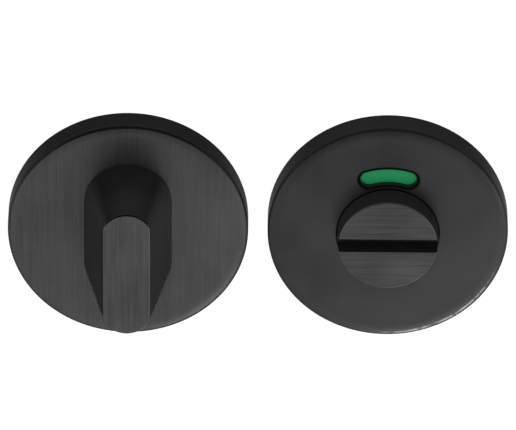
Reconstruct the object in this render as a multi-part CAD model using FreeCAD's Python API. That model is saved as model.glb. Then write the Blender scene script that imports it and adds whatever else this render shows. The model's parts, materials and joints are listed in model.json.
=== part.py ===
import FreeCAD, Part
import math
import os
from FreeCAD import Vector

# Bathroom thumb turn lock: the turn half for inside the door and the release half for outside.
# The halves lie side by side, faces towards -Y. The back of both roses is the plane y = 0.
# The turn axis is the Y axis, and the release axis is parallel to it. All sizes are in millimetres.
# Angles are counted from +X towards +Z, which is counter-clockwise for someone facing the roses.

# Layout
HALF_SPACING = 54.0          # turn axis to release axis

# Rose covers
ROSE_RADIUS = 25.0
ROSE_THICKNESS = 6.0
COVER_WALL = 1.0
COVER_ROLL_RADIUS = 6.0      # the face rolls off gently before its edge
COVER_ROLL_DEG = 18.0
COVER_EDGE_RADIUS = 0.9
SNAP_BEAD_HEIGHT = 0.3
SNAP_BEAD_WIDTH = 1.0
SNAP_BEAD_SETBACK = 1.3      # bead's middle, in front of the back plane

# Base plates
PLATE_FIT = 0.1              # radial gap to the cover's wall
PLATE_COVER_GAP = 0.2        # behind the turn cover's face
PLATE_WEB = 1.5
PLATE_RIM_WIDTH = 1.8
PLATE_HUB_WALL = 1.6
RIB_WIDTH = 1.2
RIB_COUNT = 6
FIXING_SPACING = 38.0
FIXING_BOSS_RADIUS = 4.6
FIXING_HOLE_RADIUS = 2.2     # clearance for an M4 screw
FIXING_HEAD_RADIUS = 4.0     # countersink for an M4 screw
FIXING_TAP_RADIUS = 1.65     # tapping size for M4
LUG_RADIUS = 3.6
TURN_LUG_LENGTH = 6.0
RELEASE_PILLAR_LENGTH = 12.0
TAPPED_HOLE_FLOOR = 1.2      # metal left in front of the tapped hole

# Journals, bushes, washers and circlips
JOURNAL_RADIUS = 6.0
RUNNING_CLEARANCE = 0.05
NECK_HOLE_CLEARANCE = 0.3
BUSH_WALL = 1.2
BUSH_FLANGE_WIDTH = 1.3
BUSH_FLANGE_THICKNESS = 0.7
BUSH_SEAT_GAP = 0.02
CLIP_THICKNESS = 0.8
CLIP_GROOVE_DEPTH = 0.5
CLIP_BAND = 1.5
CLIP_DEG = 270.0             # the opening's place, at the bottom
CLIP_OPENING_DEG = 70.0
CLIP_EAR_RADIUS = 1.3
CLIP_EAR_HOLE_RADIUS = 0.6
CLIP_INSET = 0.3             # circlip's back, in front of the back plane
CLIP_GAP = 0.05
WASHER_WIDTH = 2.0
WASHER_THICKNESS = 0.5
DISC_SPRING_THICKNESS = 0.4
DISC_SPRING_HEIGHT = 0.8
RECESS_CLEARANCE = 0.4

# Thumb turn
FACE_GAP = 0.2               # between a turning piece and the cover under it
GRIP_HEIGHT = 17.35
GRIP_BASE_WIDTH = 18.2
GRIP_BASE_LENGTH = 32.4
GRIP_TOP_WIDTH = 9.6
GRIP_TOP_LENGTH = 28.5
GRIP_CROWN_RADIUS = 5.2      # the top outline's ends, in the middle
GRIP_SHOULDER_RADIUS = 3.0   # from those ends into the straight sides
GRIP_EDGE_RADIUS = 0.3
JOURNAL_SETBACK = 0.1        # turn journal's end, in front of the back plane
GRUB_RADIUS = 2.0
GRUB_LENGTH = 8.0
GRUB_HEIGHT = 4.8            # above the grip's base
GRUB_CLEARANCE = 0.03
HEX_ACROSS_FLATS = 2.0
HEX_DEPTH = 2.2

# Spindle
SPINDLE_SIDE = 5.0
SPINDLE_REACH = 38.0         # behind the back plane
SPINDLE_DEPTH = 9.0          # into the grip
SPINDLE_FIT = 0.05
SPINDLE_CHAMFER = 0.6

# Release
BOSS_BASE_RADIUS = 10.55
BOSS_TOP_RADIUS = 10.3
BOSS_HEIGHT = 4.7
BOSS_EDGE_RADIUS = 0.3
BOSS_RECESS_GAP = 0.25       # round the boss, in the rose's face
BOSS_RECESS_DEPTH = 0.5
COIN_SLOT_WIDTH = 2.1
COIN_SLOT_DEPTH = 3.2
COIN_SLOT_CHAMFER = 0.5
KEYED_NECK_STEP = 1.0        # neck's radius over the journal's
KEYED_FLAT_STEP = 0.2        # neck's flats over the journal's radius
SOCKET_TUBE_STEP = 1.0       # tube's radius under the journal's
SOCKET_REACH = 10.0          # behind the back plane
SOCKET_DEPTH = 15.0
SOCKET_FIT = 0.1
JOURNAL_OVERRUN = 0.3        # release journal's end, behind the back plane

# Indicator and its window
WINDOW_DEG = 90.0            # the window's place round the rose, at the top
WINDOW_BOSS_GAP = 0.75
WINDOW_WIDTH = 4.65
WINDOW_HALF_ANGLE = 17.1     # to the centre of each round end
BEZEL_WALL = 0.42
BEZEL_FIT = 0.03
BEZEL_INSET = 0.1
BEZEL_FLANGE_WIDTH = 0.7
BEZEL_FLANGE_THICKNESS = 0.3
INDICATOR_GAP = 0.15
INDICATOR_THICKNESS = 0.8
INDICATOR_FIT = 0.05
FOIL_THICKNESS = 0.2
FOIL_OVERLAP = 1.4           # beyond the window, inwards and outwards
FOIL_MARGIN = 0.4
FOIL_HALF_ANGLE = 44.0
STOP_DEG = 270.0             # the peg's place when vacant, at the bottom
STOP_TRACK_RADIUS = 13.0
STOP_PEG_RADIUS = 1.5
STOP_PEG_LENGTH = 0.9
STOP_CLEARANCE = 0.25
TRAVEL_DEG = 90.0            # each way from vacant

# Worked-out places along Y, from the back plane
FACE = -ROSE_THICKNESS
COVER_INSIDE = FACE + COVER_WALL
SEAT = FACE - FACE_GAP
BOSS_SEAT = SEAT + BOSS_RECESS_DEPTH
TURN_PLATE_FRONT = COVER_INSIDE + PLATE_COVER_GAP
FOIL_FRONT = COVER_INSIDE + BEZEL_FLANGE_THICKNESS + INDICATOR_GAP
INDICATOR_FRONT = FOIL_FRONT + FOIL_THICKNESS
INDICATOR_BACK = INDICATOR_FRONT + INDICATOR_THICKNESS
RELEASE_PLATE_FRONT = INDICATOR_BACK + INDICATOR_GAP
CLIP_FRONT = -CLIP_INSET - CLIP_THICKNESS
TURN_RECESS_FLOOR = CLIP_FRONT - CLIP_GAP - DISC_SPRING_HEIGHT
RELEASE_RECESS_FLOOR = CLIP_FRONT - CLIP_GAP - WASHER_THICKNESS

# Worked-out radii
COVER_BORE = ROSE_RADIUS - COVER_WALL
PLATE_RADIUS = COVER_BORE - PLATE_FIT
BUSH_BORE = JOURNAL_RADIUS + RUNNING_CLEARANCE
BUSH_RADIUS = BUSH_BORE + BUSH_WALL
BUSH_FLANGE_RADIUS = BUSH_RADIUS + BUSH_FLANGE_WIDTH
CLIP_INNER_RADIUS = JOURNAL_RADIUS - CLIP_GROOVE_DEPTH + CLIP_GAP
CLIP_EAR_CENTRE = CLIP_INNER_RADIUS + CLIP_EAR_RADIUS
RECESS_RADIUS = CLIP_EAR_CENTRE + CLIP_EAR_RADIUS + RECESS_CLEARANCE
KEYED_NECK_RADIUS = JOURNAL_RADIUS + KEYED_NECK_STEP
KEYED_HALF_FLAT = JOURNAL_RADIUS + KEYED_FLAT_STEP
SOCKET_TUBE_RADIUS = JOURNAL_RADIUS - SOCKET_TUBE_STEP
WINDOW_RADIUS = BOSS_BASE_RADIUS + WINDOW_BOSS_GAP + WINDOW_WIDTH / 2
FOIL_INNER_RADIUS = WINDOW_RADIUS - WINDOW_WIDTH / 2 - FOIL_OVERLAP
FOIL_OUTER_RADIUS = WINDOW_RADIUS + WINDOW_WIDTH / 2 + FOIL_OVERLAP
INDICATOR_RADIUS = FOIL_OUTER_RADIUS + FOIL_MARGIN

# Where shoulder and crown meet on the grip's outlines, counted from its side
SHOULDER_DEG = math.degrees(math.acos(
    (GRIP_TOP_WIDTH / 2 - GRIP_SHOULDER_RADIUS) / (GRIP_CROWN_RADIUS - GRIP_SHOULDER_RADIUS)))


def at_angle(radius, angle_deg, y):
    angle = math.radians(angle_deg)
    return Vector(radius * math.cos(angle), y, radius * math.sin(angle))


def rod(radius, start, end, x=0.0, z=0.0):
    return Part.makeCylinder(radius, end - start, Vector(x, start, z), Vector(0, 1, 0))


def ring(outer, inner, start, end):
    return rod(outer, start, end).cut(rod(inner, start, end))


def turned_edges(edges):
    face = Part.Face(Part.Wire(edges))
    return face.revolve(Vector(0, 0, 0), Vector(0, 1, 0), 360)


def turned(profile):
    points = [Vector(radius, y, 0) for radius, y in profile]
    return turned_edges(Part.makePolygon(points + points[:1]).Edges)


def square_bar(side, start, end):
    corner = Vector(-side / 2, start, -side / 2)
    return Part.makeBox(side, end - start, side, corner)


def arc(start, middle, end):
    return Part.Arc(start, middle, end).toShape()


def extruded(edges, start, end):
    face = Part.Face(Part.Wire(edges))
    return face.extrude(Vector(0, end - start, 0))


def sector(inner, outer, from_deg, to_deg, start, end):
    middle = (from_deg + to_deg) / 2
    corners = [at_angle(r, a, start) for r in (inner, outer) for a in (from_deg, to_deg)]
    edges = [
        arc(corners[0], at_angle(inner, middle, start), corners[1]),
        Part.makeLine(corners[1], corners[3]),
        arc(corners[3], at_angle(outer, middle, start), corners[2]),
        Part.makeLine(corners[2], corners[0]),
    ]
    return extruded(edges, start, end)


def curved_slot(radius, half_width, middle_deg, half_deg, start, end):
    low, high = middle_deg - half_deg, middle_deg + half_deg
    inner, outer = radius - half_width, radius + half_width

    def cap_point(angle_deg, side):
        along = math.radians(angle_deg + 90 * side)
        shift = Vector(half_width * math.cos(along), 0, half_width * math.sin(along))
        return at_angle(radius, angle_deg, start) + shift

    edges = [
        arc(at_angle(outer, low, start), at_angle(outer, middle_deg, start), at_angle(outer, high, start)),
        arc(at_angle(outer, high, start), cap_point(high, 1), at_angle(inner, high, start)),
        arc(at_angle(inner, high, start), at_angle(inner, middle_deg, start), at_angle(inner, low, start)),
        arc(at_angle(inner, low, start), cap_point(low, -1), at_angle(outer, low, start)),
    ]
    return extruded(edges, start, end)


def window_slot(half_width, start, end):
    return curved_slot(WINDOW_RADIUS, half_width, WINDOW_DEG, WINDOW_HALF_ANGLE, start, end)


def circles_at(solid, radius, y):
    def fits(edge):
        curve = edge.Curve
        return (isinstance(curve, Part.Circle) and abs(curve.Radius - radius) < 1e-6
                and abs(curve.Center.y - y) < 1e-6)
    return [edge for edge in solid.Edges if fits(edge)]


def bend(radius, centre_r, centre_y, from_deg, to_deg):
    points = []
    for angle_deg in (from_deg, (from_deg + to_deg) / 2, to_deg):
        tilt = math.radians(angle_deg)
        points.append(Vector(centre_r + radius * math.sin(tilt), centre_y - radius * math.cos(tilt), 0))
    return arc(*points)


def rose_cover(hole_radius):
    bead_front = -SNAP_BEAD_SETBACK - SNAP_BEAD_WIDTH / 2
    bead_back = -SNAP_BEAD_SETBACK + SNAP_BEAD_WIDTH / 2
    roll = math.radians(COVER_ROLL_DEG)
    centre_step = COVER_ROLL_RADIUS - COVER_EDGE_RADIUS
    edge_centre_r = ROSE_RADIUS - COVER_EDGE_RADIUS
    edge_centre_y = FACE + COVER_ROLL_RADIUS - centre_step * math.cos(roll)
    roll_start = edge_centre_r - centre_step * math.sin(roll)
    roll_off = bend(COVER_ROLL_RADIUS, roll_start, FACE + COVER_ROLL_RADIUS, 0, COVER_ROLL_DEG)
    edge = bend(COVER_EDGE_RADIUS, edge_centre_r, edge_centre_y, COVER_ROLL_DEG, 90)
    profile = [
        (ROSE_RADIUS, edge_centre_y),
        (ROSE_RADIUS, 0),
        (COVER_BORE, 0),
        (COVER_BORE, bead_back),
        (COVER_BORE - SNAP_BEAD_HEIGHT, -SNAP_BEAD_SETBACK),
        (COVER_BORE, bead_front),
        (COVER_BORE, COVER_INSIDE),
        (hole_radius, COVER_INSIDE),
        (hole_radius, FACE),
        (roll_start, FACE),
    ]
    rest = Part.makePolygon([Vector(radius, y, 0) for radius, y in profile])
    return turned_edges([roll_off, edge] + rest.Edges)


def turn_rose_cover():
    return rose_cover(JOURNAL_RADIUS + NECK_HOLE_CLEARANCE)


def release_rose_cover():
    cover = rose_cover(KEYED_NECK_RADIUS + NECK_HOLE_CLEARANCE)
    recess = rod(BOSS_BASE_RADIUS + BOSS_RECESS_GAP, FACE, FACE + BOSS_RECESS_DEPTH)
    return cover.cut(recess).cut(window_slot(WINDOW_WIDTH / 2, FACE, COVER_INSIDE))


def fixing_places():
    return (-FIXING_SPACING / 2, FIXING_SPACING / 2)


def plate_pocket(front):
    web_back = front + PLATE_WEB
    rim_inner = PLATE_RADIUS - PLATE_RIM_WIDTH
    hub_outer = RECESS_RADIUS + PLATE_HUB_WALL
    pocket = ring(rim_inner, hub_outer, web_back, 0)
    for i in range(RIB_COUNT):
        rib = Part.makeBox(PLATE_RADIUS, -web_back, RIB_WIDTH, Vector(0, web_back, -RIB_WIDTH / 2))
        rib.rotate(Vector(0, 0, 0), Vector(0, 1, 0), -360 / RIB_COUNT * (i + 0.5))
        pocket = pocket.cut(rib)
    for x in fixing_places():
        pocket = pocket.cut(rod(FIXING_BOSS_RADIUS, web_back, 0, x))
    return pocket


def base_plate(front, recess_floor, lug_length):
    half_groove = SNAP_BEAD_WIDTH / 2 + PLATE_FIT
    plate = turned([
        (BUSH_RADIUS, front),
        (PLATE_RADIUS, front),
        (PLATE_RADIUS, -SNAP_BEAD_SETBACK - half_groove),
        (PLATE_RADIUS - SNAP_BEAD_HEIGHT, -SNAP_BEAD_SETBACK),
        (PLATE_RADIUS, -SNAP_BEAD_SETBACK + half_groove),
        (PLATE_RADIUS, 0),
        (RECESS_RADIUS, 0),
        (RECESS_RADIUS, recess_floor),
        (BUSH_RADIUS, recess_floor),
    ])
    plate = plate.cut(plate_pocket(front))
    plate = plate.cut(rod(BUSH_FLANGE_RADIUS + BUSH_SEAT_GAP, front, front + BUSH_FLANGE_THICKNESS))
    for x in fixing_places():
        plate = plate.fuse(rod(LUG_RADIUS, front, lug_length, x))
    return plate


def turn_base_plate():
    front = TURN_PLATE_FRONT
    plate = base_plate(front, TURN_RECESS_FLOOR, TURN_LUG_LENGTH)
    for x in fixing_places():
        head_depth = FIXING_HEAD_RADIUS - FIXING_HOLE_RADIUS
        head = Part.makeCone(FIXING_HEAD_RADIUS, FIXING_HOLE_RADIUS, head_depth,
                             Vector(x, front, 0), Vector(0, 1, 0))
        plate = plate.cut(rod(FIXING_HOLE_RADIUS, front, TURN_LUG_LENGTH, x).fuse(head))
    return plate.removeSplitter()


def release_base_plate():
    front = RELEASE_PLATE_FRONT
    plate = base_plate(front, RELEASE_RECESS_FLOOR, RELEASE_PILLAR_LENGTH)
    for x in fixing_places():
        plate = plate.cut(rod(FIXING_TAP_RADIUS, front + TAPPED_HOLE_FLOOR, RELEASE_PILLAR_LENGTH, x))
    track = curved_slot(STOP_TRACK_RADIUS, STOP_PEG_RADIUS + STOP_CLEARANCE, STOP_DEG, TRAVEL_DEG,
                        front, front + STOP_PEG_LENGTH)
    return plate.cut(track).removeSplitter()


def bush(front, recess_floor):
    return turned([
        (BUSH_BORE, front),
        (BUSH_FLANGE_RADIUS, front),
        (BUSH_FLANGE_RADIUS, front + BUSH_FLANGE_THICKNESS),
        (BUSH_RADIUS - BUSH_SEAT_GAP, front + BUSH_FLANGE_THICKNESS),
        (BUSH_RADIUS - BUSH_SEAT_GAP, recess_floor),
        (BUSH_BORE, recess_floor),
    ])


def turn_bush():
    return bush(TURN_PLATE_FRONT, TURN_RECESS_FLOOR)


def release_bush():
    return bush(RELEASE_PLATE_FRONT, RELEASE_RECESS_FLOOR)


def circlip():
    first_end = CLIP_DEG - 360 + CLIP_OPENING_DEG / 2
    last_end = CLIP_DEG - CLIP_OPENING_DEG / 2
    outer = CLIP_INNER_RADIUS + CLIP_BAND
    back = CLIP_FRONT + CLIP_THICKNESS
    clip = sector(CLIP_INNER_RADIUS, outer, first_end, last_end, CLIP_FRONT, back)
    for angle in (first_end, last_end):
        centre = at_angle(CLIP_EAR_CENTRE, angle, 0)
        ear = rod(CLIP_EAR_RADIUS, CLIP_FRONT, back, centre.x, centre.z)
        hole = rod(CLIP_EAR_HOLE_RADIUS, CLIP_FRONT, back, centre.x, centre.z)
        clip = clip.fuse(ear).cut(hole)
    return clip.removeSplitter()


def clip_groove():
    front = CLIP_FRONT - CLIP_GAP
    back = CLIP_FRONT + CLIP_THICKNESS + CLIP_GAP
    return ring(JOURNAL_RADIUS + CLIP_BAND, JOURNAL_RADIUS - CLIP_GROOVE_DEPTH, front, back)


def disc_spring():
    inner = BUSH_BORE
    outer = BUSH_BORE + WASHER_WIDTH
    rise = DISC_SPRING_HEIGHT - DISC_SPRING_THICKNESS
    floor = TURN_RECESS_FLOOR
    return turned([
        (inner, floor + rise),
        (outer, floor),
        (outer, floor + DISC_SPRING_THICKNESS),
        (inner, floor + DISC_SPRING_HEIGHT),
    ])


def release_washer():
    outer = BUSH_BORE + WASHER_WIDTH
    return ring(outer, BUSH_BORE, RELEASE_RECESS_FLOOR, RELEASE_RECESS_FLOOR + WASHER_THICKNESS)


def grip_outline(width, length, crown, shoulder, y):
    shoulder_x = width / 2 - shoulder
    shoulder_z = length / 2 - crown + math.sqrt((crown - shoulder) ** 2 - shoulder_x ** 2)

    def shoulder_points(side, end):
        offsets = [at_angle(shoulder, angle, y) for angle in (0, SHOULDER_DEG / 2, SHOULDER_DEG)]
        return [Vector(side * (shoulder_x + v.x), y, end * (shoulder_z + v.z)) for v in offsets]

    right_top, left_top = shoulder_points(1, 1), shoulder_points(-1, 1)
    right_low, left_low = shoulder_points(1, -1), shoulder_points(-1, -1)
    return Part.Wire([
        Part.makeLine(right_low[0], right_top[0]),
        arc(*right_top),
        arc(right_top[-1], Vector(0, y, length / 2), left_top[-1]),
        arc(*reversed(left_top)),
        Part.makeLine(left_top[0], left_low[0]),
        arc(*left_low),
        arc(left_low[-1], Vector(0, y, -length / 2), right_low[-1]),
        arc(*reversed(right_low)),
    ])


def grip():
    top = SEAT - GRIP_HEIGHT
    base_end = GRIP_BASE_WIDTH / 2
    base_outline = grip_outline(GRIP_BASE_WIDTH, GRIP_BASE_LENGTH, base_end, base_end, SEAT)
    top_outline = grip_outline(GRIP_TOP_WIDTH, GRIP_TOP_LENGTH, GRIP_CROWN_RADIUS, GRIP_SHOULDER_RADIUS, top)
    body = Part.makeLoft([base_outline, top_outline], True, True)
    top_edges = [e for e in body.Edges if all(abs(v.Point.y - top) < 1e-6 for v in e.Vertexes)]
    return body.makeFillet(GRIP_EDGE_RADIUS, top_edges)


def grub_axis(radius, start, end):
    return Part.makeCylinder(radius, end - start, Vector(0, SEAT - GRUB_HEIGHT, start), Vector(0, 0, 1))


def thumb_turn():
    journal_end = -JOURNAL_SETBACK
    hole = SPINDLE_SIDE + 2 * SPINDLE_FIT
    turn = grip().fuse(rod(JOURNAL_RADIUS, SEAT, journal_end))
    turn = turn.cut(clip_groove())
    turn = turn.cut(square_bar(hole, SEAT - SPINDLE_DEPTH, journal_end))
    turn = turn.cut(grub_axis(GRUB_RADIUS, -GRIP_BASE_LENGTH / 2, 0))
    return turn.removeSplitter()


def spindle():
    bar = square_bar(SPINDLE_SIDE, SEAT - SPINDLE_DEPTH + SPINDLE_FIT, SPINDLE_REACH)
    end_edges = [e for e in bar.Edges if all(abs(v.Point.y - SPINDLE_REACH) < 1e-6 for v in e.Vertexes)]
    return bar.makeChamfer(SPINDLE_CHAMFER, end_edges)


def grub_screw():
    tip = -SPINDLE_SIDE / 2
    screw = grub_axis(GRUB_RADIUS - GRUB_CLEARANCE, tip - GRUB_LENGTH, tip)
    corner_radius = HEX_ACROSS_FLATS / math.sqrt(3)
    corners = []
    for i in range(6):
        angle = math.radians(60 * i)
        x = corner_radius * math.cos(angle)
        y = SEAT - GRUB_HEIGHT + corner_radius * math.sin(angle)
        corners.append(Vector(x, y, tip - GRUB_LENGTH))
    socket = Part.Face(Part.makePolygon(corners + corners[:1])).extrude(Vector(0, 0, HEX_DEPTH))
    return screw.cut(socket)


def keyed_neck(radius, half_flat, start, end):
    flats = Part.makeBox(2 * radius, end - start, 2 * half_flat, Vector(-radius, start, -half_flat))
    return rod(radius, start, end).common(flats)


def coin_slot(top):
    edge = top + COIN_SLOT_CHAMFER
    floor = top + COIN_SLOT_DEPTH
    half = COIN_SLOT_WIDTH / 2
    mouth = half + COIN_SLOT_CHAMFER
    profile = [(top, mouth), (edge, half), (floor, half), (floor, -half), (edge, -half), (top, -mouth)]
    points = [Vector(-2 * BOSS_BASE_RADIUS, y, z) for y, z in profile]
    face = Part.Face(Part.makePolygon(points + points[:1]))
    return face.extrude(Vector(4 * BOSS_BASE_RADIUS, 0, 0))


def coin_release():
    top = SEAT - BOSS_HEIGHT
    socket_side = SPINDLE_SIDE + 2 * SOCKET_FIT
    boss = turned([
        (0, top),
        (BOSS_TOP_RADIUS, top),
        (BOSS_BASE_RADIUS, SEAT),
        (BOSS_BASE_RADIUS, BOSS_SEAT),
        (0, BOSS_SEAT),
    ])
    boss = boss.makeFillet(BOSS_EDGE_RADIUS, circles_at(boss, BOSS_TOP_RADIUS, top))
    shoulder = INDICATOR_BACK + INDICATOR_GAP / 2
    neck = keyed_neck(KEYED_NECK_RADIUS, KEYED_HALF_FLAT, BOSS_SEAT, shoulder)
    journal = rod(JOURNAL_RADIUS, shoulder, JOURNAL_OVERRUN).cut(clip_groove())
    tube = rod(SOCKET_TUBE_RADIUS, JOURNAL_OVERRUN, SOCKET_REACH)
    socket = square_bar(socket_side, SOCKET_REACH - SOCKET_DEPTH, SOCKET_REACH)
    return boss.cut(coin_slot(top)).fuse([neck, journal, tube]).cut(socket).removeSplitter()


def indicator_disc():
    hole = keyed_neck(KEYED_NECK_RADIUS + INDICATOR_FIT, KEYED_HALF_FLAT + INDICATOR_FIT,
                      INDICATOR_FRONT, INDICATOR_BACK)
    disc = rod(INDICATOR_RADIUS, INDICATOR_FRONT, INDICATOR_BACK).cut(hole)
    peg_place = at_angle(STOP_TRACK_RADIUS, STOP_DEG, 0)
    peg_end = INDICATOR_BACK + INDICATOR_GAP + STOP_PEG_LENGTH - STOP_CLEARANCE
    return disc.fuse(rod(STOP_PEG_RADIUS, INDICATOR_BACK, peg_end, peg_place.x, peg_place.z))


def colour_foil(middle_deg):
    return sector(FOIL_INNER_RADIUS, FOIL_OUTER_RADIUS, middle_deg - FOIL_HALF_ANGLE,
                  middle_deg + FOIL_HALF_ANGLE, FOIL_FRONT, INDICATOR_FRONT)


def vacant_foil():
    return colour_foil(WINDOW_DEG)


def engaged_foils():
    return Part.makeCompound([colour_foil(WINDOW_DEG + turn) for turn in (-TRAVEL_DEG, TRAVEL_DEG)])


def window_bezel():
    half_width = WINDOW_WIDTH / 2 - BEZEL_FIT
    front = FACE + BEZEL_INSET
    back = COVER_INSIDE + BEZEL_FLANGE_THICKNESS
    wall = window_slot(half_width, front, back)
    flange = window_slot(half_width + BEZEL_FLANGE_WIDTH, COVER_INSIDE, back)
    opening = window_slot(half_width - BEZEL_WALL, front, back)
    return wall.fuse(flange).cut(opening).removeSplitter()


TURN_HALF = {
    "turn_rose_cover": turn_rose_cover,
    "turn_base_plate": turn_base_plate,
    "turn_bush": turn_bush,
    "turn_disc_spring": disc_spring,
    "turn_circlip": circlip,
    "thumb_turn": thumb_turn,
    "spindle": spindle,
    "grub_screw": grub_screw,
}
RELEASE_HALF = {
    "release_rose_cover": release_rose_cover,
    "release_base_plate": release_base_plate,
    "release_bush": release_bush,
    "release_washer": release_washer,
    "release_circlip": circlip,
    "coin_release": coin_release,
    "indicator_disc": indicator_disc,
    "vacant_foil": vacant_foil,
    "engaged_foils": engaged_foils,
    "window_bezel": window_bezel,
}


def export(pieces, x):
    for name, make in pieces.items():
        shape = make()
        shape.translate(Vector(x, 0, 0))
        shape.exportStep(os.path.join("parts", name + ".step"))


os.makedirs("parts", exist_ok=True)
export(TURN_HALF, 0)
export(RELEASE_HALF, HALF_SPACING)
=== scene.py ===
import json
import math
import bmesh
import bpy
from mathutils import Matrix, Quaternion, Vector


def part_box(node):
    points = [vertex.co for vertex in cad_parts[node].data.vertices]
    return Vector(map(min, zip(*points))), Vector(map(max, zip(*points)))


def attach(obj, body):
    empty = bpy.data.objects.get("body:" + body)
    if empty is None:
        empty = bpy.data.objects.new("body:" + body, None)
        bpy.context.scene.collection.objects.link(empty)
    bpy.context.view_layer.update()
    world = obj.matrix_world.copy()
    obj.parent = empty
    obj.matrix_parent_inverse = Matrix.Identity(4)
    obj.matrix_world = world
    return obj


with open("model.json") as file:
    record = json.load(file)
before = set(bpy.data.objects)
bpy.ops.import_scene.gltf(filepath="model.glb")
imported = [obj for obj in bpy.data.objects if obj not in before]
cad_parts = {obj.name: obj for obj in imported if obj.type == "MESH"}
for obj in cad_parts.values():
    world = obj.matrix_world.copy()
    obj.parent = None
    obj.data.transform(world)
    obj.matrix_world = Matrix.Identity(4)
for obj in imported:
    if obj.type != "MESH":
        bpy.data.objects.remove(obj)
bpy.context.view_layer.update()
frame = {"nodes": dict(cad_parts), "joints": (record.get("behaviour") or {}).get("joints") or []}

# Bathroom turn and release set: finishes, small worked details, studio and camera.
# Metres. The roses' backs lie in the plane y = 0 and their faces look towards -Y.
# The turn half is at x = 0, and the release half stands beside it.
nodes = frame["nodes"]
turnAxis = Vector(frame["joints"][0]["pos_m"])
releaseAxis = Vector(frame["joints"][1]["pos_m"])
print("frame loaded:", len(nodes), "pieces")


# One wire is one node socket. Sums on wires add Math nodes.
class Wire:
    def __init__(self, tree, socket=None):
        self.tree = tree
        self.socket = socket

    # any node: its settings first, then the values or wires of its sockets
    def add(self, kind, settings=None, inputs=None, out=0):
        node = self.tree.nodes.new("ShaderNode" + kind)
        for name, value in (settings or {}).items():
            setattr(node, name, value)
        for name, value in (inputs or {}).items():
            if isinstance(value, Wire):
                self.tree.links.new(value.socket, node.inputs[name])
            else:
                node.inputs[name].default_value = value
        return Wire(self.tree, node.outputs[out])

    def sum(self, operation, *values):
        return self.add("Math", {"operation": operation}, dict(enumerate(values)))

    def __add__(self, other):
        return self.sum("ADD", self, other)

    def __radd__(self, other):
        return self.sum("ADD", other, self)

    def __sub__(self, other):
        return self.sum("SUBTRACT", self, other)

    def __rsub__(self, other):
        return self.sum("SUBTRACT", other, self)

    def __mul__(self, other):
        return self.sum("MULTIPLY", self, other)

    def __rmul__(self, other):
        return self.sum("MULTIPLY", other, self)

    def __neg__(self):
        return self.sum("MULTIPLY", self, -1.0)

    def __abs__(self):
        return self.sum("ABSOLUTE", self)

    def rise(self, low, high):            # 0 below low, 1 above high, smooth between
        return self.add("MapRange", {"interpolation_type": "SMOOTHSTEP"},
                        {"Value": self, "From Min": low, "From Max": high})

    def blend(self, first, second):       # colours, by this wire as the share of the second
        return self.add("Mix", {"data_type": "RGBA"}, {0: self, 6: first, 7: second}, out=2)

    def part(self, axis):                 # X, Y or Z of a vector
        return self.add("SeparateXYZ", {}, {"Vector": self}, out=axis)

    def vector(self, operation, other, out="Vector"):
        return self.add("VectorMath", {"operation": operation}, {0: self, 1: other}, out=out)


def newFinish(name):
    finish = bpy.data.materials.new(name)
    finish.use_nodes = True
    return finish, Wire(finish.node_tree), finish.node_tree.nodes["Principled BSDF"]


def feed(shader, values):
    for name, value in values.items():
        if isinstance(value, Wire):
            value.tree.links.new(value.socket, shader.inputs[name])
        else:
            shader.inputs[name].default_value = value


def noise(place, stretch, detail=2.0, roughness=0.5):   # stretch: cycles per metre along x, y, z
    mapped = place.add("Mapping", {"vector_type": "POINT"}, {"Vector": place, "Scale": stretch})
    return place.add("TexNoise", {}, {"Vector": mapped, "Scale": 1.0, "Detail": detail, "Roughness": roughness})


def swing(share, pattern):                # a pattern's share of a tone, about the pattern's middle
    return share * (pattern - 0.5)


def twoTone(tone, look):
    return tone.blend((*look["dark"], 1), (*look["light"], 1))


def bump(look, height, softness=0):       # softness rounds edges in the shading alone
    inputs = {"Strength": look["bump"], "Distance": look["bumpDepth"], "Height": height}
    if softness:
        inputs["Normal"] = height.add("Bevel", {"samples": 6}, {"Radius": softness})
    return height.add("Bump", {}, inputs)


def facingDoor(wire):                     # 1 on faces that look away from the door, 0 on walls, -1 on backs
    return -wire.add("TexCoord", out="Normal").part("Y")


# Dark satin steel of the roses, thumb turn and coin release
satinLines = {
    "vertical": (5200.0, 400.0, 90.0),
    "horizontal": (90.0, 400.0, 5200.0),
    "wall": (70.0, 5200.0, 70.0),
}
satinStreaks = {
    "vertical": (1300.0, 200.0, 38.0),
    "horizontal": (38.0, 200.0, 1300.0),
    "wall": (30.0, 1300.0, 30.0),
}
satin = {
    "cloud": (70.0, 70.0, 70.0), "flatFrom": (0.6, 0.9), "faceSpread": 0.37, "wallSpread": 0.2,
    "flankFrom": (0.66, 0.99), "fadeFrom": (0.25, 0.6), "archFrom": (0.12, 0.4), "streakBump": 0.6,
    "streakRoughness": 0.14, "cloudRoughness": 0.08, "edgePolish": 0.10,
}


def grey(value):                          # the dark finish is neutral with a trace of blue
    return (value, value, 1.015 * value, 1.0)


def shades(tone, value, spread):
    return tone.blend(grey((1.0 - spread) * value), grey((1.0 + spread) * value))


def paintedSheenColour(colour, place, facing, paintedSheen):   # painted light: the face is painted paler towards one side, as painted sheen, and its edge there carries a painted highlight
    along = place.vector("DOT_PRODUCT", paintedSheen["side"], out="Value")
    edgeAlong = place.vector("DOT_PRODUCT", paintedSheen["edgeSide"], out="Value")
    sheenShare = along.rise(*paintedSheen["reach"]) * paintedSheen["share"]
    colour = sheenShare.blend(colour, grey(paintedSheen["tone"]))
    specks = noise(place, paintedSheen["specks"], detail=4.0, roughness=0.7).rise(*paintedSheen["specksFrom"])
    edgeGlint = facing.rise(*paintedSheen["edgeFrom"]) * (1.0 - facing.rise(*paintedSheen["edgeTo"])) * specks
    return (edgeGlint * edgeAlong.rise(*paintedSheen["edgeReach"])).blend(colour, grey(paintedSheen["glintTone"]))


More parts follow.
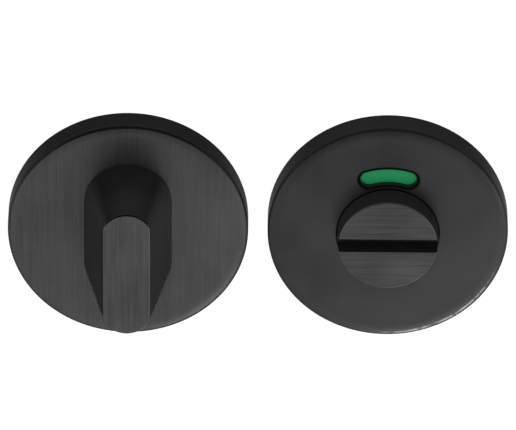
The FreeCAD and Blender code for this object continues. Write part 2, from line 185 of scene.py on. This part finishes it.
def seamShadeMask(place, seamShade):                # 1 in the groove round the boss, where shade is painted
    across = place.vector("SUBTRACT", seamShade["axis"]).vector("MULTIPLY", (1, 0, 1))
    radius = across.vector("LENGTH", (0, 0, 0), out="Value")
    depth = place.part("Y")
    return depth.rise(*seamShade["from"]) * (1.0 - depth.rise(*seamShade["to"])) * (1.0 - radius.rise(*seamShade["radius"]))


def darkSatin(name, look):
    finish, wire, shader = newFinish(name)
    place = wire.add("TexCoord", out="Object")
    normal = wire.add("TexCoord", out="Normal")
    facing = facingDoor(wire)
    sideways = abs(normal.part("X"))
    flat = abs(facing).rise(*satin["flatFrom"])
    edge = facing.rise(*look["edgeFrom"]) * (1.0 - facing.rise(*look["edgeTo"]))
    lines = flat * noise(place, satinLines[look["brushed"]]) + (1.0 - flat) * noise(place, satinLines["wall"])
    streaks = flat * noise(place, satinStreaks[look["brushed"]], detail=3.0) \
        + (1.0 - flat) * noise(place, satinStreaks["wall"], detail=3.0)
    cloud = noise(place, satin["cloud"], detail=3.0)
    tone = 0.5 + swing(look["lineTone"], lines) + swing(look["streakTone"], streaks) \
        + swing(look["cloudTone"], cloud)
    face = shades(tone, look["face"], satin["faceSpread"])
    wall = shades(tone, look["wall"], satin["wallSpread"])
    if look["paintedFlankLight"]:                     # painted light: the grip's sides are painted paler than its ends
        paintedFlankLight = shades(tone, look["paintedFlankLight"], satin["wallSpread"])
        wall = sideways.rise(*satin["flankFrom"]).blend(wall, paintedFlankLight)
    # Edges take a painted tone: a dark line on the rose rims as painted shade, and pale lines on the grip and coin
    # edges as painted highlight.
    edgeShare = look["edgeShare"] * (1.0 - look["edgeFade"] * sideways.rise(*satin["fadeFrom"]))
    paintedEdgeTone = grey(look["edge"])
    if look["archEdgeShade"]:                  # painted shade: the edge over the arch is painted darker
        overArch = normal.part("Z").rise(*satin["archFrom"])
        paintedEdgeTone = overArch.blend(paintedEdgeTone, grey(look["archEdgeShade"]))
    colour = (edge * edgeShare).blend(flat.blend(wall, face), paintedEdgeTone)
    # painted sheen on the face and a painted highlight along its edge
    if look["paintedSheen"]:
        colour = paintedSheenColour(colour, place, facing, look["paintedSheen"])
    metal = look["metal"]
    if look["edgeMetal"] > metal:         # an edge worn to bare metal mirrors only what is around it
        metal = metal + edge * (look["edgeMetal"] - metal)
    if look["seamShade"]:                      # painted shade: the groove round the boss is painted near black and made fully metallic, so that it takes no diffuse light
        inSeamShade = seamShadeMask(place, look["seamShade"])
        colour = inSeamShade.blend(colour, grey(look["seamShade"]["tone"]))
        metal = metal + inSeamShade * (1.0 - metal)
    if look["slot"]:                      # the milled slot and its chamfers are barer metal than the brushed faces, and are painted a little darker as painted shade
        slot = look["slot"]
        height = abs(place.part("Z"))
        milledSlotShade = 1.0 - height.rise(slot["mouth"], slot["mouth"] + slot["blur"])
        chamfer = height.rise(slot["half"], slot["half"] + slot["blur"])
        colour = milledSlotShade.blend(colour, grey(slot["tone"]))
        metal = metal + milledSlotShade * (slot["metal"] + chamfer * (1.0 - slot["metal"]) - metal)
    rough = look["wallRoughness"] + (look["roughness"] - look["wallRoughness"]) * flat \
        + swing(satin["streakRoughness"], streaks) * flat + swing(satin["cloudRoughness"], cloud) \
        - satin["edgePolish"] * edge
    relief = (lines + satin["streakBump"] * streaks) * flat
    feed(shader, {"Base Color": colour, "Metallic": metal, "Roughness": rough, "Specular IOR Level": 0.0,
                  "Specular Tint": grey(look["grazing"]), "Normal": bump(look, relief, look["edgeSoftness"])})
    return finish


# painted shade in the groove round the coin release's boss, on the rose and on the boss's foot
bossSeamShade = {
    "axis": tuple(releaseAxis), "radius": (0.01078, 0.01086), "from": (-0.00612, -0.00600),
    "to": (-0.0053, -0.0050), "tone": 0.004,
}
# painted sheen on the release rose: paler towards the lower right, with a painted highlight along that edge
roseSheen = {
    "side": (0.70, 0, -0.71), "reach": (0.018, 0.060), "share": 0.6, "tone": 0.0415,
    "edgeSide": (0.53, 0, -0.85), "edgeReach": (0.0465, 0.0525), "glintTone": 0.17,
    "edgeFrom": (0.928, 0.945), "edgeTo": (0.966, 0.978), "specks": (700.0, 700.0, 700.0), "specksFrom": (0.36, 0.62),
}
# the coin slot: barer metal, with painted shade in its tone
coinSlotShade = {"mouth": 0.00158, "half": 0.00103, "blur": 0.00006, "tone": 0.036, "metal": 0.8}
turnRoseLook = {
    "brushed": "vertical", "face": 0.0445, "wall": 0.042, "paintedFlankLight": 0, "lineTone": 0.7, "streakTone": 0.45,
    "cloudTone": 0.9, "roughness": 0.42, "wallRoughness": 0.40, "bump": 0.10, "bumpDepth": 0.00002,
    "edge": 0.010, "edgeShare": 0.9, "edgeFrom": (0.38, 0.58), "edgeTo": (0.86, 0.95), "edgeFade": 0.9,
    "edgeSoftness": 0.00008, "archEdgeShade": 0, "grazing": 0.45, "metal": 0.75, "edgeMetal": 0.75,
    "paintedSheen": None, "seamShade": None, "slot": None,
}
# the grip carries painted light on its sides and painted shade on the edge over its arch
gripLook = {
    **turnRoseLook, "face": 0.0470, "wall": 0.046, "paintedFlankLight": 0.126, "lineTone": 1.1, "streakTone": 0.65,
    "cloudTone": 1.1, "wallRoughness": 0.26, "grazing": 0.12, "edge": 0.07, "edgeShare": 1.0, "edgeMetal": 1.0,
    "edgeFrom": (0.30, 0.55), "edgeTo": (0.88, 0.985), "edgeFade": 0, "archEdgeShade": 0.008,
}
releaseRoseLook = {
    **turnRoseLook, "face": 0.0265, "wall": 0.052, "lineTone": 0.35, "streakTone": 0.2, "cloudTone": 1.5,
    "edge": 0.016, "edgeShare": 0.7, "paintedSheen": roseSheen, "seamShade": bossSeamShade,
}
coinLook = {
    **turnRoseLook, "brushed": "horizontal", "face": 0.0402, "wall": 0.052, "lineTone": 1.0, "streakTone": 1.0,
    "cloudTone": 1.4, "wallRoughness": 0.7, "grazing": 0.3, "edge": 0.08, "edgeShare": 0.7,
    "edgeFrom": (0.30, 0.55), "edgeTo": (0.88, 0.985), "edgeFade": 0, "edgeSoftness": 0.00012,
    "seamShade": bossSeamShade, "slot": coinSlotShade,
}


# Zinc die-casting of the base plates
castingLook = {
    "dark": (0.22, 0.225, 0.23), "light": (0.42, 0.43, 0.44), "roughness": 0.48, "softness": 0.00025,
    "skin": (2600.0, 2600.0, 2600.0), "flow": (160.0, 160.0, 420.0), "cloud": (55.0, 55.0, 55.0),
    "skinTone": 0.5, "flowTone": 0.9, "cloudTone": 0.8, "flowRoughness": 0.25, "skinRoughness": 0.2,
    "bump": 0.3, "bumpDepth": 0.00005,
}


def zincCasting(look):
    finish, wire, shader = newFinish("zincCasting")
    place = wire.add("TexCoord", out="Object")
    skin = noise(place, look["skin"], detail=3.0, roughness=0.6)
    flow = noise(place, look["flow"], detail=4.0, roughness=0.6)
    cloud = noise(place, look["cloud"], detail=3.0)
    tone = 0.5 + swing(look["skinTone"], skin) + swing(look["flowTone"], flow) + swing(look["cloudTone"], cloud)
    rough = look["roughness"] + swing(look["flowRoughness"], flow) + swing(look["skinRoughness"], skin)
    feed(shader, {"Base Color": twoTone(tone, look), "Metallic": 1.0, "Roughness": rough,
                  "Normal": bump(look, skin + flow, look["softness"])})
    return finish


# Bright drawn bar of the spindle
spindleLook = {
    "dark": (0.15, 0.15, 0.153), "light": (0.28, 0.28, 0.284), "roughness": 0.52, "softness": 0.0002,
    "drawn": (4200.0, 45.0, 4200.0), "sawn": (60.0, 300.0, 3800.0), "cloud": (120.0, 60.0, 120.0),
    "lineTone": 0.9, "cloudTone": 0.6, "cloudRoughness": 0.2, "endRoughness": 0.12, "endFrom": (0.9, 0.99),
    "bump": 0.15, "bumpDepth": 0.00003,
}


def brightSteel(look):
    finish, wire, shader = newFinish("brightSteel")
    place = wire.add("TexCoord", out="Object")
    end = abs(facingDoor(wire)).rise(*look["endFrom"])
    drawn = noise(place, look["drawn"], detail=3.0)
    sawn = noise(place, look["sawn"])
    lines = (1.0 - end) * drawn + end * sawn
    cloud = noise(place, look["cloud"], detail=4.0)
    tone = 0.5 + swing(look["lineTone"], lines) + swing(look["cloudTone"], cloud)
    rough = look["roughness"] + swing(look["cloudRoughness"], cloud) + look["endRoughness"] * end
    feed(shader, {"Base Color": twoTone(tone, look), "Metallic": 1.0, "Roughness": rough,
                  "Normal": bump(look, lines, look["softness"])})
    return finish


# Dark phosphated spring steel of the circlips, disc spring and grub screw
springLook = {
    "dark": (0.05, 0.048, 0.047), "light": (0.14, 0.138, 0.14), "roughness": 0.42, "softness": 0.0001,
    "crystals": (3800.0, 3800.0, 3800.0), "cloud": (260.0, 260.0, 260.0), "crystalTone": 0.8, "cloudTone": 0.7,
    "cloudRoughness": 0.2, "bump": 0.2, "bumpDepth": 0.00002,
}


def springSteel(look):
    finish, wire, shader = newFinish("springSteel")
    place = wire.add("TexCoord", out="Object")
    crystals = noise(place, look["crystals"], detail=3.0, roughness=0.6)
    cloud = noise(place, look["cloud"], detail=3.0)
    tone = 0.5 + swing(look["crystalTone"], crystals) + swing(look["cloudTone"], cloud)
    feed(shader, {"Base Color": twoTone(tone, look), "Metallic": 1.0,
                  "Roughness": look["roughness"] + swing(look["cloudRoughness"], cloud),
                  "Normal": bump(look, crystals, look["softness"])})
    return finish


# Moulded plastics: natural nylon of the bushes, black of the indicator and bezel
nylonLook = {
    "dark": (0.62, 0.6, 0.52), "light": (0.76, 0.75, 0.7), "roughness": 0.42, "depth": 0.25, "gloss": 0.5,
    "skin": (3200.0, 3200.0, 3200.0), "cloud": (180.0, 180.0, 180.0), "skinTone": 0.4, "cloudTone": 0.9,
    "cloudRoughness": 0.2, "scatter": (0.0008, 0.0007, 0.0005), "softness": 0.00015, "bump": 0.25,
    "bumpDepth": 0.00002, "wallCoat": 0, "coatRoughness": 0.3, "frontFrom": (0.3, 0.7),
}
blackLook = {
    **nylonLook, "dark": (0.0015, 0.0017, 0.0015), "light": (0.0032, 0.0035, 0.0032), "roughness": 0.8,
    "depth": 0.0, "gloss": 0.03, "softness": 0.00008,
}
bezelLook = {**blackLook, "wallCoat": 0.85}


def mouldedPlastic(name, look):
    finish, wire, shader = newFinish(name)
    place = wire.add("TexCoord", out="Object")
    skin = noise(place, look["skin"])
    cloud = noise(place, look["cloud"], detail=3.0)
    tone = 0.5 + swing(look["skinTone"], skin) + swing(look["cloudTone"], cloud)
    feed(shader, {"Base Color": twoTone(tone, look), "Specular IOR Level": look["gloss"],
                  "Roughness": look["roughness"] + swing(look["cloudRoughness"], cloud),
                  "Subsurface Weight": look["depth"], "Subsurface Radius": look["scatter"],
                  "Normal": bump(look, skin, look["softness"])})
    if look["wallCoat"]:                  # walls as smooth as the mould, which mirror a little of the colour
        onWalls = 1.0 - facingDoor(wire).rise(*look["frontFrom"])
        feed(shader, {"Coat Weight": look["wallCoat"] * onWalls, "Coat Roughness": look["coatRoughness"]})
    return finish


# Printed colour foils of the indicator
vacantLook = {
    "dark": (0.007, 0.162, 0.056), "light": (0.011, 0.195, 0.071), "roughness": 0.38, "gloss": 0.25,
    "ink": (2400.0, 2400.0, 2400.0), "cloud": (240.0, 240.0, 240.0), "inkTone": 0.5, "cloudTone": 0.7,
    "cloudRoughness": 0.2, "bump": 0.1, "bumpDepth": 0.00001,
}
engagedLook = {**vacantLook, "dark": (0.36, 0.012, 0.012), "light": (0.44, 0.018, 0.018)}


def printedFoil(name, look):
    finish, wire, shader = newFinish(name)
    place = wire.add("TexCoord", out="Object")
    ink = noise(place, look["ink"], detail=3.0)
    cloud = noise(place, look["cloud"])
    tone = 0.5 + swing(look["inkTone"], ink) + swing(look["cloudTone"], cloud)
    feed(shader, {"Base Color": twoTone(tone, look), "Specular IOR Level": look["gloss"],
                  "Roughness": look["roughness"] + swing(look["cloudRoughness"], cloud),
                  "Normal": bump(look, ink)})
    return finish


# Which finish each piece has
pieceFinish = {
    "turn_rose_cover": darkSatin("darkSatinTurnRose", turnRoseLook),
    "thumb_turn": darkSatin("darkSatinGrip", gripLook),
    "release_rose_cover": darkSatin("darkSatinReleaseRose", releaseRoseLook),
    "coin_release": darkSatin("darkSatinCoin", coinLook),
    "spindle": brightSteel(spindleLook),
    "window_bezel": mouldedPlastic("bezelBlack", bezelLook),
    "vacant_foil": printedFoil("vacantGreen", vacantLook),
    "engaged_foils": printedFoil("engagedRed", engagedLook),
}
casting = zincCasting(castingLook)
spring = springSteel(springLook)
nylon = mouldedPlastic("naturalNylon", nylonLook)
black = mouldedPlastic("blackPlastic", blackLook)
pieceFinish["indicator_disc"] = black
pieceFinish.update(dict.fromkeys(("turn_base_plate", "release_base_plate"), casting))
pieceFinish.update(dict.fromkeys(("turn_disc_spring", "turn_circlip", "release_circlip", "grub_screw"), spring))
pieceFinish.update(dict.fromkeys(("turn_bush", "release_bush", "release_washer"), nylon))
for name, finish in pieceFinish.items():
    nodes[name].material_slots[0].material = finish
print("finishes:", len(pieceFinish), "of", len(nodes), "pieces")


# Pieces made here ride on a body and take their finish from one of the record's slots
def finishPiece(bm, name, look, body, finish):
    bmesh.ops.remove_doubles(bm, verts=bm.verts, dist=0.000002)
    bmesh.ops.recalc_face_normals(bm, faces=bm.faces)
    for face in bm.faces:
        face.smooth = True
    mesh = bpy.data.meshes.new(name)
    bm.to_mesh(mesh)
    bm.free()
    mesh.set_sharp_from_angle(angle=math.radians(look["sharpAngle"]))
    mesh.materials.append(finish)
    piece = bpy.data.objects.new(name, mesh)
    bpy.context.scene.collection.objects.link(piece)
    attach(piece, body)


# Thread crests inside the tapped holes, which the solids leave plain
pillarThread = {
    "centres": [(-0.019, 0, 0), (0.019, 0, 0)], "axis": (0, 1, 0), "start": 0.0022, "pitch": 0.0007, "turns": 13,
    "steps": 28, "radius": 0.00165, "height": 0.00014, "bite": 0.00006, "share": 0.42, "sharpAngle": 40,
}
grubThread = {
    "centres": [(0, -0.011, 0)], "axis": (0, 0, 1), "start": -0.0149, "pitch": 0.0007, "turns": 6,
    "steps": 32, "radius": 0.0020, "height": 0.00014, "bite": 0.00006, "share": 0.42, "sharpAngle": 40,
}


def makeThread(name, look, hub, body, finish):
    bm = bmesh.new()
    axis = Vector(look["axis"])
    root = Vector((look["radius"] + look["bite"], 0, 0))
    crest = Vector((look["radius"] - look["height"], 0, 0))
    half = axis * look["pitch"] * look["share"]
    for centre in look["centres"]:
        middle = hub + Vector(centre)
        low = middle + axis * (look["start"] - middle.dot(axis))
        corners = [bm.verts.new(low + step) for step in (root - half, crest, root + half)]
        sides = [bm.edges.new((corners[i - 1], corners[i])) for i in range(3)]
        bmesh.ops.spin(bm, geom=corners + sides, cent=low, axis=axis, dvec=axis * look["pitch"] / look["steps"],
                       angle=2 * math.pi * look["turns"], steps=look["turns"] * look["steps"])
    bmesh.ops.holes_fill(bm, edges=[edge for edge in bm.edges if edge.is_boundary], sides=3)
    finishPiece(bm, name, look, body, finish)


# Ejector pin marks on the backs of the castings, between the ribs
pinMarks = {
    "ring": 0.0157, "angles": (60, 120, 240, 300), "radius": 0.00125, "rise": 0.00012, "sink": 0.0002,
    "lip": 0.00018, "dish": 0.00008, "edge": 0.00004, "segments": 36, "sharpAngle": 50,
    "web": 0.0015,                        # the web's back lies this far behind the casting's front
}


def makePinMarks(name, look, hub, front, body, finish):
    bm = bmesh.new()
    flatOnBack = Matrix.Rotation(math.radians(90), 4, "X")
    depth = front + look["web"] - look["sink"]
    for angle in look["angles"]:
        turn = math.radians(angle)
        place = hub + Vector((look["ring"] * math.cos(turn), depth, look["ring"] * math.sin(turn)))
        bmesh.ops.create_circle(bm, cap_ends=True, segments=look["segments"], radius=look["radius"],
                                matrix=Matrix.Translation(place) @ flatOnBack)
    raised = bmesh.ops.extrude_face_region(bm, geom=bm.faces[:], use_keep_orig=True)["geom"]
    bmesh.ops.translate(bm, verts=[v for v in raised if isinstance(v, bmesh.types.BMVert)],
                        vec=(0, look["sink"] + look["rise"], 0))
    tops = [f for f in raised if isinstance(f, bmesh.types.BMFace)]
    rims = {edge for face in tops for edge in face.edges}
    bmesh.ops.inset_individual(bm, faces=tops, thickness=look["lip"], depth=0)
    bmesh.ops.translate(bm, verts=list({v for face in tops for v in face.verts}), vec=(0, -look["dish"], 0))
    bmesh.ops.bevel(bm, geom=list(rims), offset=look["edge"], affect="EDGES", segments=2, profile=0.5,
                    material=-1)
    finishPiece(bm, name, look, body, finish)


# Lip of the window's lining, the black line round the colour
bezelLip = {
    "ring": 0.013575, "halfWidth": 0.002250, "halfAngle": 18.0, "steps": 40, "endSteps": 24, "sharpAngle": 35,
    "section": [(-0.00036, 0.00011), (-0.00036, -0.00002), (-0.00031, -0.00007), (0.00006, -0.00007),
                (0.00011, -0.00002), (0.00011, 0.00011)],   # how far out and how far back
}


def makeBezelLip(name, look, hub, front, body, finish):
    bm = bmesh.new()
    half = math.radians(look["halfAngle"])
    towardsLeft, towardsRight = (Vector((side * math.sin(half), 0, math.cos(half))) for side in (-1, 1))
    edge = look["ring"] + look["halfWidth"]
    corners = [bm.verts.new(hub + towardsLeft * (edge + out) + Vector((0, front + back, 0)))
               for out, back in look["section"]]
    sweep = corners + [bm.edges.new((corners[i - 1], corners[i])) for i in range(len(corners))]
    runs = (                              # round the outer side, one end, the inner side and the other end
        (hub, 2 * half, look["steps"]),
        (hub + towardsRight * look["ring"], math.pi, look["endSteps"]),
        (hub, -2 * half, look["steps"]),
        (hub + towardsLeft * look["ring"], math.pi, look["endSteps"]),
    )
    for centre, angle, steps in runs:
        sweep = bmesh.ops.spin(bm, geom=sweep, cent=centre, axis=(0, 1, 0), angle=angle, steps=steps)["geom_last"]
    finishPiece(bm, name, look, body, finish)


makeThread("release_pillar_threads", pillarThread, releaseAxis, "roses", casting)
makeBezelLip("window_bezel_lip", bezelLip, releaseAxis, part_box("release_rose_cover")[0].y, "roses",
             black)
makeThread("grub_hole_thread", grubThread, turnAxis, "turn", pieceFinish["thumb_turn"])
for plate, hub in (("turn_base_plate", turnAxis), ("release_base_plate", releaseAxis)):
    makePinMarks(plate + "_pin_marks", pinMarks, hub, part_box(plate)[0].y, "roses", casting)
print("worked details: threads, pin marks and window lip")


# Studio: a large pale floor well below the set, a dim room and four soft lamps
studio = {
    "floorDrop": 0.45, "floorSize": 20.0, "floorColour": (0.86, 0.86, 0.86), "floorGlow": 0.72,
    "roomFront": 0.09, "roomBack": 0.27, "roomFade": (-0.4, 0.8),
}
lamps = {
    "frontLamp": {"place": (0.03, -1.30, 0.85), "size": 0.8, "power": 25.0, "mirrored": False},
    "nearLamp": {"place": (0.132, -0.207, -0.384), "size": 0.16, "power": 0.6, "mirrored": True},
    "rightLamp": {"place": (0.80, -0.75, -0.22), "size": 0.45, "power": 2.2, "mirrored": True},
    "leftLamp": {"place": (-0.72, -0.80, -0.20), "size": 0.45, "power": 1.6, "mirrored": True},
}


def makeFloor(look):
    bm = bmesh.new()
    bmesh.ops.create_grid(bm, x_segments=8, y_segments=8, size=look["floorSize"] / 2)
    bmesh.ops.translate(bm, verts=bm.verts, vec=(0, 0, -look["floorDrop"]))
    mesh = bpy.data.meshes.new("floor")
    bm.to_mesh(mesh)
    bm.free()
    floor = bpy.data.objects.new("floor", mesh)
    bpy.context.scene.collection.objects.link(floor)
    paper, wire, shader = newFinish("paleFloor")
    seen = wire.add("LightPath", out="Is Camera Ray") + wire.add("LightPath", out="Is Glossy Ray") \
        + wire.add("LightPath", out="Is Transmission Ray")
    glow = (seen * look["floorGlow"]).blend((0, 0, 0, 1), (1, 1, 1, 1))
    feed(shader, {"Base Color": (*look["floorColour"], 1), "Roughness": 1.0, "Specular IOR Level": 0.0,
                  "Emission Color": glow, "Emission Strength": 1.0})
    mesh.materials.append(paper)


def makeRoom(look):
    room = bpy.data.worlds.new("room")
    room.use_nodes = True
    bpy.context.scene.world = room
    back = Wire(room.node_tree).add("TexCoord", out="Generated").part("Y")
    front, rear = ((*[look[key]] * 3, 1) for key in ("roomFront", "roomBack"))
    feed(room.node_tree.nodes["Background"], {"Color": back.rise(*look["roomFade"]).blend(front, rear)})


def makeLamps(aim):
    for name, look in lamps.items():
        light = bpy.data.lights.new(name, "AREA")
        light.size = look["size"]
        light.energy = look["power"]
        lamp = bpy.data.objects.new(name, light)
        lamp.location = look["place"]
        lamp.visible_camera = False
        lamp.visible_glossy = look["mirrored"]
        lamp.rotation_euler = (aim - lamp.location).to_track_quat("-Z", "Y").to_euler()
        bpy.context.scene.collection.objects.link(lamp)


# Camera: a very long lens two metres away, looking down on the faces
view = {"elevation": 30.7, "distance": 2.0, "lens": 671.5, "aim": (0.02700, -0.00412, 0.00313), "roll": 0.50}


def makeCamera(look):
    lens = bpy.data.cameras.new("camera")
    lens.lens = look["lens"]
    camera = bpy.data.objects.new("camera", lens)
    tilt = math.radians(look["elevation"])
    back = Vector((0, -math.cos(tilt), math.sin(tilt)))
    camera.location = Vector(look["aim"]) + back * look["distance"]
    level = (-back).to_track_quat("-Z", "Y")
    camera.rotation_euler = (level @ Quaternion((0, 0, 1), math.radians(look["roll"]))).to_euler()
    bpy.context.scene.collection.objects.link(camera)
    bpy.context.scene.camera = camera


makeFloor(studio)
makeRoom(studio)
makeLamps(releaseAxis / 2)
makeCamera(view)
bpy.context.scene.view_settings.view_transform = "Standard"
print("studio and camera ready")
